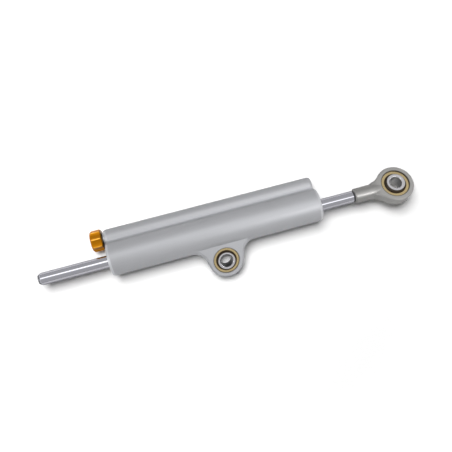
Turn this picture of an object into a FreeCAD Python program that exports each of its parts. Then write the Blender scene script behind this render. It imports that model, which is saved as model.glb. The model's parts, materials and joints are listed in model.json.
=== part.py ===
import FreeCAD, Part
import math
import os
from types import SimpleNamespace

import Sketcher

# Steering damper: a through-rod damper with a two-lobed body, a bleed valve and two spherical bearings.
# The origin is the centre of the lug's spherical bearing. +Z runs along that bearing's bore, +X along the
# rod towards the rod end, and the rod's axis lies on the +Y side of the lug.

# Driving dimensions, in millimetres and degrees.
SIZES = {
    # Body: a round lobe about the cylinder, a slimmer lobe about the reservoir, and the lug.
    "body_length": 140.5,
    "lug_from_left": 72.2,
    "cylinder_lobe_radius": 11.1,
    "cylinder_lobe_offset": 1.1,
    "reservoir_lobe_radius": 5.8,
    "reservoir_offset": 15.8,
    "reservoir_roll": 37.0,
    "lobe_hollow": 2.0,
    "end_taper_length": 1.6,
    "end_taper_depth": 0.6,
    "lug_offset": 17.8,
    "lug_lift": 3.4,
    "lug_thickness": 8.0,
    "lug_radius": 11.5,
    "lug_chamfer": 1.2,
    "lug_taper": 15.0,
    "lug_fillet": 10.0,
    "lug_root_sink": 0.2,
    "lug_edge": 0.4,
    "chamber_radius": 7.5,
    "pocket_radius": 8.3,
    "valve_bore_radius": 4.0,
    "port_radius": 1.5,
    "port_from_head": 2.5,
    # Clearances.
    "running_clearance": 0.04,
    "seat_clearance": 0.03,
    "axial_play": 0.1,
    # Rod and piston.
    "rod_radius": 4.0,
    "rod_left_reach": 45.4,
    "rod_right_reach": 24.7,
    "tip_chamfer_length": 1.8,
    "tip_chamfer_depth": 1.1,
    "shoulder_chamfer": 0.6,
    "stud_radius": 3.0,
    "stud_length": 13.0,
    "piston_from_left": 60.7,
    "piston_length": 14.0,
    "piston_gap": 0.4,
    "band_width": 6.0,
    "band_thickness": 1.1,
    "piston_ring_radius": 0.6,
    "rod_clip_width": 0.8,
    "rod_clip_depth": 0.5,
    "rod_clip_height": 1.2,
    # Seal heads, one at each end of the cylinder.
    "head_length": 26.0,
    "clip_recess": 1.2,
    "clip_thickness": 1.0,
    "clip_depth": 0.5,
    "clip_height": 1.3,
    "clip_gap_angle": 50.0,
    "head_rod_gap": 0.3,
    "wiper_radius": 6.4,
    "wiper_length": 4.0,
    "wiper_lip": 1.5,
    "wiper_lip_wall": 1.0,
    "seal_from_face": 7.0,
    "seal_length": 4.0,
    "bush_radius": 5.3,
    "bush_web": 2.0,
    "head_ring_from_end": 9.0,
    "head_ring_radius": 0.8,
    "ring_groove_room": 0.3,
    # Bleed valve in the reservoir lobe, set by the knob.
    "knob_radius": 7.0,
    "knob_length": 7.5,
    "knob_gap": 0.5,
    "knob_edge": 1.1,
    "knob_scallops": 8,
    "scallop_radius": 6.5,
    "scallop_depth": 0.9,
    "knob_face_recess": 1.2,
    "knob_recess_radius": 4.6,
    "screw_head_radius": 2.7,
    "screw_head_height": 1.1,
    "screw_socket_radius": 1.5,
    "screw_socket_depth": 0.7,
    "gland_flange_radius": 4.4,
    "gland_flange": 0.9,
    "gland_length": 13.0,
    "spindle_radius": 2.0,
    "spindle_collar_radius": 2.9,
    "spindle_collar_from_end": 8.0,
    "spindle_length": 19.0,
    "spindle_socket_depth": 9.0,
    "spindle_ring_radius": 0.5,
    "spindle_ring_from_end": 3.0,
    "gland_ring_radius": 0.5,
    "gland_ring_from_end": 6.0,
    "needle_tail_radius": 1.5,
    "needle_tail_from_end": 12.0,
    "needle_radius": 2.0,
    "needle_shoulder_gap": 1.6,
    "needle_tip_length": 4.0,
    "needle_tip_radius": 0.4,
    "needle_lift": 1.4,
    "guide_gap": 1.6,
    "guide_length": 7.0,
    "seat_from_end": 48.5,
    "seat_length": 6.5,
    "orifice_radius": 0.9,
    "orifice_mouth_radius": 2.2,
    "orifice_mouth_depth": 1.3,
    # Compensating reservoir at the other end of the same bore.
    "plug_clip_recess": 0.9,
    "plug_clip_thickness": 0.8,
    "plug_clip_depth": 0.45,
    "plug_clip_height": 0.8,
    "plug_length": 7.0,
    "plug_socket_radius": 2.0,
    "plug_socket_depth": 3.0,
    "plug_ring_radius": 0.5,
    "float_from_end": 15.0,
    "float_length": 6.0,
    # Spherical bearings.
    "pivot_bore_radius": 4.0,
    "pivot_bore_chamfer": 0.5,
    "ball_clearance": 0.05,
    "lug_ball_radius": 7.25,
    "lug_ball_width": 9.0,
    "lug_race_radius": 8.5,
    "lug_race_width": 6.0,
    "eye_ball_radius": 8.0,
    "eye_ball_width": 10.5,
    "eye_race_radius": 9.25,
    "eye_race_width": 6.5,
    # Rod end.
    "shank_gap": 0.5,
    "shank_radius": 5.0,
    "shank_chamfer": 0.8,
    "neck_length": 7.0,
    "neck_fillet": 10.0,
    "neck_relief_length": 6.0,
    "neck_relief_height": 3.6,
    "eye_from_shank": 29.0,
    "eye_radius": 12.5,
    "eye_thickness": 8.0,
    "eye_edge": 0.8,
    "eye_roll": -37.0,
}

doc = FreeCAD.newDocument("SteeringDamper")
sheet = doc.addObject("Spreadsheet::Sheet", "Sizes")
for row, (alias, number) in enumerate(SIZES.items(), start=1):
    sheet.set(f"A{row}", alias)
    sheet.set(f"B{row}", str(number))
    sheet.setAlias(f"B{row}", alias)
doc.recompute()


class Size:
    """A cell of the sheet, or a formula on cells: its present value, and its text for an expression."""

    def __init__(self, number, text):
        self.number = number
        self.text = text

    def __add__(self, other):
        other = as_size(other)
        return Size(self.number + other.number, f"({self.text} + {other.text})")

    def __sub__(self, other):
        other = as_size(other)
        return Size(self.number - other.number, f"({self.text} - {other.text})")

    def __mul__(self, other):
        other = as_size(other)
        return Size(self.number * other.number, f"({self.text} * {other.text})")

    def __truediv__(self, other):
        other = as_size(other)
        return Size(self.number / other.number, f"({self.text} / {other.text})")

    def __neg__(self):
        return Size(-self.number, f"(0 - {self.text})")


def as_size(value):
    return value if isinstance(value, Size) else Size(value, repr(value))


def root(size):
    return Size(math.sqrt(size.number), f"sqrt({size.text})")


def sine(angle):
    return Size(math.sin(math.radians(angle.number)), f"sin({angle.text} * 1 deg)")


def cosine(angle):
    return Size(math.cos(math.radians(angle.number)), f"cos({angle.text} * 1 deg)")


def tangent(angle):
    return Size(math.tan(math.radians(angle.number)), f"tan({angle.text} * 1 deg)")


def latitude(height, radius):
    """Angle up a sphere at which it is cut flat at a height."""
    ratio = height / radius
    return Size(math.degrees(math.asin(ratio.number)), f"asin({ratio.text}) / 1 deg")


d = SimpleNamespace(**{alias: Size(number, f"Sizes.{alias}") for alias, number in SIZES.items()})

# Stations along X, and the axes that pieces are turned about.
left_end = -d.lug_from_left
right_end = d.body_length - d.lug_from_left
rod_axis = (d.lug_offset, -d.lug_lift)
valve_axis = (d.lug_offset + d.reservoir_offset * cosine(d.reservoir_roll),
              -d.lug_lift - d.reservoir_offset * sine(d.reservoir_roll))
head_face = d.clip_recess + d.clip_thickness
head_end = head_face + d.head_length
rod_tip = left_end - d.rod_left_reach
rod_shoulder = right_end + d.rod_right_reach
piston_start = left_end + d.piston_from_left - d.piston_length / 2
shank_face = rod_shoulder + d.shank_gap
eye_centre = shank_face + d.eye_from_shank


def bind(feature, path, size):
    feature.setExpression(path, as_size(size).text)


def place(piece, axis, start, flipped=False):
    """Put a piece that is made along its own X axis onto an axis of the damper."""
    turn = 180.0 if flipped else 0.0
    piece.Placement = FreeCAD.Placement(FreeCAD.Vector(), FreeCAD.Rotation(FreeCAD.Vector(0, 0, 1), turn))
    bind(piece, "Placement.Base.x", start)
    bind(piece, "Placement.Base.y", axis[0])
    bind(piece, "Placement.Base.z", axis[1])


def new_body(label):
    body = doc.addObject("PartDesign::Body", label)
    body.Label = label
    return body


def new_sketch(body, name, plane="XY_Plane"):
    sketch = body.newObject("Sketcher::SketchObject", name)
    support = next(item for item in body.Origin.OriginFeatures if item.Role == plane)
    sketch.AttachmentSupport = [(support, "")]
    sketch.MapMode = "FlatFace"
    return sketch


def fix_point(sketch, geometry, corner, spot):
    """Tie a point of a sketch to its two coordinates."""
    for kind, axis, size in (("DistanceX", -2, as_size(spot[0])), ("DistanceY", -1, as_size(spot[1]))):
        if size.text == "0":
            sketch.addConstraint(Sketcher.Constraint("PointOnObject", geometry, corner, axis))
        else:
            index = sketch.addConstraint(Sketcher.Constraint(kind, geometry, corner, size.number))
            bind(sketch, f"Constraints[{index}]", size)


def draw_outline(sketch, corners):
    """Draw a closed outline of straight edges through corners given as pairs of sizes."""
    spots = [FreeCAD.Vector(as_size(x).number, as_size(y).number, 0) for x, y in corners]
    count = len(spots)
    lines = [Part.LineSegment(spots[i], spots[(i + 1) % count]) for i in range(count)]
    sketch.addGeometry(lines, False)
    for i in range(count):
        sketch.addConstraint(Sketcher.Constraint("Coincident", i, 2, (i + 1) % count, 1))
    for i, corner in enumerate(corners):
        fix_point(sketch, i, 1, corner)


def fix_radius(sketch, geometry, radius):
    index = sketch.addConstraint(Sketcher.Constraint("Radius", geometry, radius.number))
    bind(sketch, f"Constraints[{index}]", radius)


def draw_circle(sketch, centre, radius):
    spot = FreeCAD.Vector(as_size(centre[0]).number, as_size(centre[1]).number, 0)
    index = sketch.addGeometry(Part.Circle(spot, FreeCAD.Vector(0, 0, 1), radius.number), False)
    fix_point(sketch, index, 3, centre)
    fix_radius(sketch, index, radius)


def revolve(body, name, corners, kind="PartDesign::Revolution", axis=None, angle=360.0):
    """Turn an outline of (station, radius) corners about the X axis, or about an axis beside it."""
    sketch = new_sketch(body, name + "_profile")
    if axis is not None:
        bind(sketch, "AttachmentOffset.Base.y", axis[0])
        bind(sketch, "AttachmentOffset.Base.z", axis[1])
    draw_outline(sketch, corners)
    feature = body.newObject(kind, name)
    feature.Profile = sketch
    feature.ReferenceAxis = (sketch, ["H_Axis"])
    bind(feature, "Angle", angle)
    return feature


def turned(label, axis, start, corners, flipped=False, angle=360.0):
    """A piece turned on the lathe from (station, radius) corners."""
    body = new_body(label)
    revolve(body, label + "_turning", corners, angle=angle)
    place(body, axis, start, flipped)
    return body


def ring(label, axis, centre, radius, thickness):
    """An O-ring about an axis: a torus whose own axis is turned from Z to X."""
    torus = doc.addObject("Part::Torus", label)
    torus.Label = label
    bind(torus, "Radius1", radius)
    bind(torus, "Radius2", thickness)
    torus.Placement = FreeCAD.Placement(FreeCAD.Vector(), FreeCAD.Rotation(FreeCAD.Vector(0, 1, 0), 90))
    bind(torus, "Placement.Base.x", centre)
    bind(torus, "Placement.Base.y", axis[0])
    bind(torus, "Placement.Base.z", axis[1])
    return torus


def tube(length, inner, outer):
    """Corners of a plain sleeve that starts at station 0."""
    return [(0, inner), (length, inner), (length, outer), (0, outer)]


def hexagon_socket(body, name, radius, depth, station=0):
    """Cut a hexagon socket into a turned piece, from a station towards its own +X."""
    sketch = new_sketch(body, name + "_hexagon", "YZ_Plane")
    bind(sketch, "AttachmentOffset.Base.z", station)
    half = radius / 2
    wide = radius * root(as_size(3)) / 2
    draw_outline(sketch, [(radius, 0), (half, wide), (-half, wide), (-radius, 0), (-half, -wide),
                          (half, -wide)])
    pocket = body.newObject("PartDesign::Pocket", name)
    pocket.Profile = sketch
    pocket.Reversed = True
    bind(pocket, "Length", depth)
    return pocket


def edges_where(shape, test):
    return [f"Edge{i}" for i, edge in enumerate(shape.Edges, start=1) if test(edge)]


def chamfer(body, name, base, edges, size):
    feature = body.newObject("PartDesign::Chamfer", name)
    feature.Base = (base, edges)
    bind(feature, "Size", size)
    return feature


def on_plane(edge, axis, station):
    """Whether an edge lies whole in the plane across an axis at a station."""
    return all(abs(getattr(point, axis) - station) < 1e-4 for point in edge.discretize(5))


def draw_section(sketch, inset):
    """Outline across the body: the round lobe, the slimmer lobe, and a hollow on each side between them.
    An inset draws it smaller all round."""
    near = d.cylinder_lobe_offset
    far = d.reservoir_offset
    radii = (d.cylinder_lobe_radius - inset, d.lobe_hollow + inset, d.reservoir_lobe_radius - inset)
    to_round = radii[0].number + radii[1].number
    to_slim = radii[2].number + radii[1].number
    gap = far.number - near.number
    along = (to_round ** 2 + gap ** 2 - to_slim ** 2) / (2 * gap)
    across = math.sqrt(to_round ** 2 - along ** 2)
    round_angle = math.atan2(across, along)
    slim_angle = math.atan2(across, gap - along)
    middle = near.number + along
    up = FreeCAD.Vector(0, 0, 1)

    def arc(x, y, radius, first, last):
        return Part.ArcOfCircle(Part.Circle(FreeCAD.Vector(x, y, 0), up, radius.number), first, last)

    sketch.addGeometry([
        arc(near.number, 0, radii[0], round_angle, 2 * math.pi - round_angle),
        arc(middle, -across, radii[1], slim_angle, math.pi - round_angle),
        arc(far.number, 0, radii[2], slim_angle - math.pi, math.pi - slim_angle),
        arc(middle, across, radii[1], math.pi + round_angle, 2 * math.pi - slim_angle),
    ], False)
    for first, first_end, second, second_end in ((0, 2, 1, 2), (1, 1, 2, 1), (2, 2, 3, 2), (3, 1, 0, 1)):
        sketch.addConstraint(Sketcher.Constraint("Tangent", first, first_end, second, second_end))
    fix_point(sketch, 0, 3, (near, 0))
    fix_point(sketch, 2, 3, (far, 0))
    for index, radius in enumerate((*radii, radii[1])):
        fix_radius(sketch, index, radius)


def draw_lug(sketch, rear_y, crease, inset):
    """Outline of the lug: a round nose, straight sides that widen towards the body, and fillets that run
    out on a line along the round lobe. An inset draws it smaller all round."""
    nose_radius = d.lug_radius - inset
    root_radius = d.lug_fillet + inset
    lean_cos = cosine(d.lug_taper)
    lean_sin = sine(d.lug_taper)
    root_y = crease - d.lug_fillet
    root_x = (d.lug_radius + d.lug_fillet) / lean_cos + root_y * tangent(d.lug_taper)
    side = (nose_radius * lean_cos, -nose_radius * lean_sin)
    meet = (root_x - root_radius * lean_cos, root_y + root_radius * lean_sin)
    run_out = (root_x, root_y + root_radius)
    rear = (root_x, rear_y)

    def spot(pair, mirror=1):
        return FreeCAD.Vector(mirror * pair[0].number, pair[1].number, 0)

    def mirrored(pair):
        return (-pair[0], pair[1])

    up = FreeCAD.Vector(0, 0, 1)
    lean = math.radians(d.lug_taper.number)
    nose = Part.Circle(FreeCAD.Vector(), up, nose_radius.number)
    right_root = Part.Circle(spot((root_x, root_y)), up, root_radius.number)
    left_root = Part.Circle(spot((root_x, root_y), -1), up, root_radius.number)
    sketch.addGeometry([
        Part.ArcOfCircle(nose, math.pi + lean, 2 * math.pi - lean),
        Part.LineSegment(spot(side), spot(meet)),
        Part.ArcOfCircle(right_root, math.pi / 2, math.pi - lean),
        Part.LineSegment(spot(run_out), spot(rear)),
        Part.LineSegment(spot(rear), spot(rear, -1)),
        Part.LineSegment(spot(rear, -1), spot(run_out, -1)),
        Part.ArcOfCircle(left_root, lean, math.pi / 2),
        Part.LineSegment(spot(meet, -1), spot(side, -1)),
    ], False)
    joins = ((0, 2, 1, 1), (1, 2, 2, 2), (2, 1, 3, 1), (3, 2, 4, 1), (4, 2, 5, 1), (5, 2, 6, 2),
             (6, 1, 7, 1), (7, 2, 0, 1))
    for first, first_end, second, second_end in joins:
        sketch.addConstraint(Sketcher.Constraint("Coincident", first, first_end, second, second_end))
    for arc, radius in ((0, nose_radius), (2, root_radius), (6, root_radius)):
        fix_radius(sketch, arc, radius)
    for line, end, corner in ((1, 1, side), (1, 2, meet), (3, 1, run_out), (3, 2, rear)):
        fix_point(sketch, line, end, corner)
    for line, end, corner in ((4, 2, rear), (5, 2, run_out), (7, 1, meet), (7, 2, side)):
        fix_point(sketch, line, end, mirrored(corner))


def make_cylinder_body():
    """Two-lobed body with its lug, stepped bores, ports and bearing bore."""
    body = new_body("cylinder_body")
    flush = as_size(0)

    def loft(name, sections, ruled):
        feature = body.newObject("PartDesign::AdditiveLoft", name)
        feature.Profile = sections[0]
        feature.Sections = sections[1:]
        feature.Ruled = ruled

    def body_section(name, station, inset):
        sketch = new_sketch(body, name, "YZ_Plane")
        spin = FreeCAD.Rotation(FreeCAD.Vector(0, 0, 1), -d.reservoir_roll.number)
        sketch.AttachmentOffset = FreeCAD.Placement(FreeCAD.Vector(), spin)
        bind(sketch, "AttachmentOffset.Rotation.Angle", -d.reservoir_roll)
        bind(sketch, "AttachmentOffset.Base.x", rod_axis[0])
        bind(sketch, "AttachmentOffset.Base.y", rod_axis[1])
        bind(sketch, "AttachmentOffset.Base.z", station)
        draw_section(sketch, inset)
        return sketch

    # The barrel, and a short taper at each of its ends.
    left_shoulder = left_end + d.end_taper_length
    right_shoulder = right_end - d.end_taper_length
    barrel = body.newObject("PartDesign::Pad", "barrel")
    barrel.Profile = body_section("barrel_section", left_shoulder, flush)
    bind(barrel, "Length", right_shoulder - left_shoulder)
    for side, shoulder, end in (("left", left_shoulder, left_end), ("right", right_shoulder, right_end)):
        loft(f"{side}_taper", [body_section(f"{side}_shoulder", shoulder, flush),
                               body_section(f"{side}_face", end, d.end_taper_depth)], True)

    # The lug: its fillets follow the round lobe's side, and its edges are chamfered by lofts to an outline
    # that is set in.
    lobe_y = rod_axis[0] + d.cylinder_lobe_offset * cosine(d.reservoir_roll)
    lobe_z = rod_axis[1] - d.cylinder_lobe_offset * sine(d.reservoir_roll)
    face = d.lug_thickness / 2
    edge = face - d.lug_chamfer

    def lug_section(name, height, inset):
        sketch = new_sketch(body, name)
        bind(sketch, "AttachmentOffset.Base.z", height)
        rise = height - lobe_z
        crease = lobe_y - root(d.cylinder_lobe_radius * d.cylinder_lobe_radius - rise * rise)
        draw_lug(sketch, lobe_y, crease + d.lug_root_sink, inset)
        return sketch

    loft("lug", [lug_section(f"lug_level_{level}", edge * share, flush)
                 for level, share in enumerate((-1, -0.35, 0.35, 1))], False)
    for name, way in (("front", 1), ("back", -1)):
        loft(f"lug_{name}_chamfer", [lug_section(f"lug_{name}_edge", edge * way, flush),
                                     lug_section(f"lug_{name}_face", face * way, d.lug_chamfer)], True)

    # The cylinder: a chamber between two head pockets, each with a groove for its circlip.
    chamber = d.chamber_radius
    pocket = d.pocket_radius
    groove = d.pocket_radius + d.clip_depth
    right = right_end - left_end
    near = [(0, 0), (0, pocket), (d.clip_recess, pocket), (d.clip_recess, groove), (head_face, groove),
            (head_face, pocket), (head_end, pocket), (head_end, chamber)]
    far_side = [(right - station, radius) for station, radius in reversed(near[1:])] + [(right, 0)]
    cut_along_x(body, "cylinder_bore", near + far_side, rod_axis)

    # The bore of the reservoir lobe, with a circlip groove at its right end.
    bore = d.valve_bore_radius
    clip = bore + d.plug_clip_depth
    clip_in = right - d.plug_clip_recess
    clip_out = clip_in - d.plug_clip_thickness
    cut_along_x(body, "valve_bore",
                [(0, 0), (0, bore), (clip_out, bore), (clip_out, clip), (clip_in, clip), (clip_in, bore),
                 (right, bore), (right, 0)], valve_axis)

    # Two ports join the ends of the chamber with the valve's bore.
    ports = new_sketch(body, "port_centres")
    tilt = FreeCAD.Rotation(FreeCAD.Vector(1, 0, 0), -90 - d.reservoir_roll.number)
    ports.AttachmentOffset = FreeCAD.Placement(FreeCAD.Vector(), tilt)
    bind(ports, "AttachmentOffset.Rotation.Angle", -d.reservoir_roll - 90)
    bind(ports, "AttachmentOffset.Base.y", rod_axis[0])
    bind(ports, "AttachmentOffset.Base.z", rod_axis[1])
    inset = head_end + d.port_from_head
    draw_circle(ports, (left_end + inset, 0), d.port_radius)
    draw_circle(ports, (right_end - inset, 0), d.port_radius)
    drill = body.newObject("PartDesign::Pocket", "ports")
    drill.Profile = ports
    drill.Reversed = True
    bind(drill, "Length", d.reservoir_offset)

    seat = new_sketch(body, "bearing_seat")
    draw_circle(seat, (0, 0), d.lug_race_radius)
    bearing = body.newObject("PartDesign::Pocket", "bearing_bore")
    bearing.Profile = seat
    bearing.SideType = "Symmetric"
    bind(bearing, "Length", d.lug_thickness * 2)
    doc.recompute()

    def bore_mouth(edge):
        flat = any(on_plane(edge, "z", side * d.lug_thickness.number / 2) for side in (1, -1))
        return flat and edge.Closed

    chamfer(body, "bearing_mouths", bearing, edges_where(bearing.Shape, bore_mouth), d.lug_edge)
    return body


def cut_along_x(body, name, corners, axis):
    """Bore a stepped hole from the left end of the body about an axis along X."""
    shifted = [(left_end + station, radius) for station, radius in corners]
    return revolve(body, name, shifted, kind="PartDesign::Groove", axis=axis)


def make_seal_heads():
    """A seal head at each end: guide, bush, rod seal, wiper, O-ring and circlip."""
    shaft = d.rod_radius + d.running_clearance
    free = d.rod_radius + d.head_rod_gap
    outer = d.pocket_radius - d.seat_clearance
    ring_depth = d.head_ring_radius * 2 - d.running_clearance
    ring_half = d.head_ring_radius + d.ring_groove_room / 2
    ring_station = d.head_length - d.head_ring_from_end
    ring_in = ring_station - ring_half
    ring_out = ring_station + ring_half
    floor = outer - ring_depth
    seal_end = d.seal_from_face + d.seal_length
    bush_start = seal_end + d.bush_web
    bush_length = d.head_length - bush_start
    head = [(0, d.wiper_radius), (0, outer), (ring_in, outer), (ring_in, floor), (ring_out, floor),
            (ring_out, outer), (d.head_length, outer), (d.head_length, d.bush_radius),
            (bush_start, d.bush_radius), (bush_start, free), (seal_end, free), (seal_end, d.wiper_radius),
            (d.seal_from_face, d.wiper_radius), (d.seal_from_face, free), (d.wiper_length, free),
            (d.wiper_length, d.wiper_radius)]
    packing = d.wiper_radius - d.seat_clearance
    lip = shaft + d.wiper_lip_wall
    wiper = [(d.wiper_length, shaft), (d.wiper_length, packing), (0, packing), (0, lip + d.wiper_lip_wall),
             (-d.wiper_lip, lip), (-d.wiper_lip, shaft)]
    cup = d.seal_length / 2
    middle = (shaft + packing) / 2
    seal = [(0, shaft), (0, packing), (d.seal_length, packing), (d.seal_length, middle + d.head_rod_gap),
            (cup, middle), (d.seal_length, middle - d.head_rod_gap), (d.seal_length, shaft)]
    sleeve = tube(bush_length, shaft, d.bush_radius - d.seat_clearance)
    clip_outer = d.pocket_radius + d.clip_depth - d.seat_clearance
    clip = tube(d.clip_thickness, clip_outer - d.clip_depth - d.clip_height, clip_outer)
    for side, end, inward, flipped in (("left", left_end, 1, False), ("right", right_end, -1, True)):
        face = end + head_face * inward
        turned(f"seal_head_{side}", rod_axis, face, head, flipped)
        turned(f"wiper_{side}", rod_axis, face, wiper, flipped)
        turned(f"rod_seal_{side}", rod_axis, face + d.seal_from_face * inward, seal, flipped)
        turned(f"rod_bush_{side}", rod_axis, face + bush_start * inward, sleeve, flipped)
        turned(f"head_circlip_{side}", rod_axis, end + d.clip_recess * inward, clip, flipped,
               angle=as_size(360) - d.clip_gap_angle)
        ring(f"head_o_ring_{side}", rod_axis, face + ring_station * inward,
             floor + d.head_ring_radius, d.head_ring_radius - d.seat_clearance)


def make_rod_and_piston():
    """Through rod with its stud, and the piston held between two circlips."""
    clip_floor = d.rod_radius - d.rod_clip_depth
    left_clip = piston_start - d.axial_play - d.rod_clip_width
    right_clip = piston_start + d.piston_length + d.axial_play
    rod = d.rod_radius
    stud_end = rod_shoulder + d.stud_length
    stations = [(rod_tip, 0), (rod_tip, rod - d.tip_chamfer_depth), (rod_tip + d.tip_chamfer_length, rod)]
    for groove in (left_clip, right_clip):
        stations += [(groove, rod), (groove, clip_floor), (groove + d.rod_clip_width, clip_floor),
                     (groove + d.rod_clip_width, rod)]
    stations += [(rod_shoulder - d.shoulder_chamfer, rod), (rod_shoulder, rod - d.shoulder_chamfer),
                 (rod_shoulder, d.stud_radius), (stud_end, d.stud_radius), (stud_end, 0)]
    turned("piston_rod", rod_axis, as_size(0), stations)

    band_outer = d.chamber_radius - d.running_clearance
    band_inner = band_outer - d.band_thickness
    skirt = d.chamber_radius - d.piston_gap
    band_in = (d.piston_length - d.band_width) / 2
    band_out = (d.piston_length + d.band_width) / 2
    middle = d.piston_length / 2
    ring_half = d.piston_ring_radius + d.ring_groove_room / 2
    ring_floor = band_inner - d.piston_ring_radius * 2
    bore = rod + d.running_clearance
    turned("piston", rod_axis, piston_start, [
        (0, bore), (0, skirt), (band_in, skirt), (band_in, band_inner), (middle - ring_half, band_inner),
        (middle - ring_half, ring_floor), (middle + ring_half, ring_floor), (middle + ring_half, band_inner),
        (band_out, band_inner), (band_out, skirt), (d.piston_length, skirt), (d.piston_length, bore)])
    turned("piston_band", rod_axis, piston_start + band_in + d.seat_clearance,
           tube(d.band_width - d.seat_clearance * 2, band_inner + d.seat_clearance, band_outer))
    ring("piston_o_ring", rod_axis, piston_start + middle, ring_floor + d.piston_ring_radius,
         d.piston_ring_radius - d.seat_clearance)
    clip_outer = clip_floor + d.rod_clip_depth + d.rod_clip_height
    clip = tube(d.rod_clip_width, clip_floor + d.seat_clearance, clip_outer)
    for side, station in (("left", left_clip), ("right", right_clip)):
        turned(f"piston_circlip_{side}", rod_axis, station, clip, angle=as_size(360) - d.clip_gap_angle)


def make_bleed_valve():
    """Knob, spindle, gland, needle and seat in the left part of the reservoir lobe."""
    bore = d.valve_bore_radius - d.seat_clearance
    stem = d.spindle_radius + d.running_clearance
    collar = d.spindle_collar_radius + d.running_clearance
    ring_half = d.gland_ring_radius + d.ring_groove_room / 2
    ring_floor = bore - d.gland_ring_radius * 2 + d.seat_clearance
    stem_ring_half = d.spindle_ring_radius + d.ring_groove_room / 2
    stem_floor = stem + d.spindle_ring_radius * 2
    gland = [(-d.gland_flange, stem), (-d.gland_flange, d.gland_flange_radius), (0, d.gland_flange_radius),
             (0, bore), (d.gland_ring_from_end - ring_half, bore),
             (d.gland_ring_from_end - ring_half, ring_floor), (d.gland_ring_from_end + ring_half, ring_floor),
             (d.gland_ring_from_end + ring_half, bore), (d.gland_length, bore), (d.gland_length, collar),
             (d.spindle_collar_from_end, collar), (d.spindle_collar_from_end, stem),
             (d.spindle_ring_from_end + stem_ring_half, stem),
             (d.spindle_ring_from_end + stem_ring_half, stem_floor),
             (d.spindle_ring_from_end - stem_ring_half, stem_floor),
             (d.spindle_ring_from_end - stem_ring_half, stem)]
    turned("valve_gland", valve_axis, left_end, gland)
    ring("gland_o_ring", valve_axis, left_end + d.gland_ring_from_end, ring_floor + d.gland_ring_radius,
         d.gland_ring_radius - d.seat_clearance)
    ring("spindle_o_ring", valve_axis, left_end + d.spindle_ring_from_end, stem_floor - d.spindle_ring_radius,
         d.spindle_ring_radius - d.seat_clearance)

    knob_inner = -d.gland_flange - d.knob_gap
    knob_outer = knob_inner - d.knob_length
    hub = knob_outer + d.knob_face_recess
    socket = d.needle_tail_radius + d.running_clearance
    step = d.spindle_collar_from_end + d.axial_play
    turned("adjuster_spindle", valve_axis, left_end, [
        (hub, 0), (hub, d.spindle_radius), (step, d.spindle_radius),
        (step, d.spindle_collar_radius), (d.spindle_length, d.spindle_collar_radius),
        (d.spindle_length, socket), (d.spindle_length - d.spindle_socket_depth, socket),
        (d.spindle_length - d.spindle_socket_depth, 0)])
    make_knob(knob_outer, hub)

    taper = d.needle_tip_length / (d.needle_radius - d.needle_tip_radius)
    shut_tip = d.seat_from_end + d.orifice_mouth_depth + taper * (d.orifice_radius - d.needle_tip_radius)
    tip = shut_tip - d.needle_lift
    shoulder = d.spindle_length + d.needle_shoulder_gap
    turned("needle", valve_axis, left_end, [
        (d.needle_tail_from_end, 0), (d.needle_tail_from_end, d.needle_tail_radius),
        (shoulder, d.needle_tail_radius), (shoulder, d.needle_radius),
        (tip - d.needle_tip_length, d.needle_radius), (tip, d.needle_tip_radius), (tip, 0)])
    turned("needle_guide", valve_axis, left_end + d.spindle_length + d.guide_gap,
           tube(d.guide_length, d.needle_radius + d.running_clearance, bore))
    turned("valve_seat", valve_axis, left_end + d.seat_from_end, [
        (0, d.orifice_mouth_radius), (0, bore), (d.seat_length, bore), (d.seat_length, d.orifice_radius),
        (d.orifice_mouth_depth, d.orifice_radius)])


def make_knob(outer, hub):
    """Gold knob: a chamfered drum with scallops milled round its side, on the spindle's end."""
    knob = new_body("adjuster_knob")
    inner = outer + d.knob_length
    drum = revolve(knob, "knob_drum", [
        (outer + d.knob_edge, d.knob_radius), (inner - d.knob_edge, d.knob_radius),
        (inner, d.knob_radius - d.knob_edge), (inner, d.spindle_radius + d.seat_clearance),
        (hub, d.spindle_radius + d.seat_clearance), (hub, d.knob_recess_radius),
        (outer, d.knob_recess_radius), (outer, d.knob_radius - d.knob_edge)])
    mill = new_sketch(knob, "scallop_section", "YZ_Plane")
    bind(mill, "AttachmentOffset.Base.z", outer)
    draw_circle(mill, (d.knob_radius + d.scallop_radius - d.scallop_depth, 0), d.scallop_radius)
    scallop = knob.newObject("PartDesign::Pocket", "scallop")
    scallop.Profile = mill
    scallop.Reversed = True
    bind(scallop, "Length", d.knob_length)
    doc.recompute()
    scallops = knob.newObject("PartDesign::PolarPattern", "scallops")
    scallops.Originals = [scallop]
    scallops.Axis = (drum.Profile[0], ["H_Axis"])
    scallops.Angle = 360
    bind(scallops, "Occurrences", d.knob_scallops)
    knob.Tip = scallops
    place(knob, valve_axis, left_end)

    screw_face = hub - d.screw_head_height
    screw = turned("knob_screw", valve_axis, left_end, [
        (screw_face, 0), (screw_face, d.screw_head_radius), (hub, d.screw_head_radius), (hub, 0)])
    hexagon_socket(screw, "screw_socket", d.screw_socket_radius, d.screw_socket_depth, screw_face)


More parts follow.
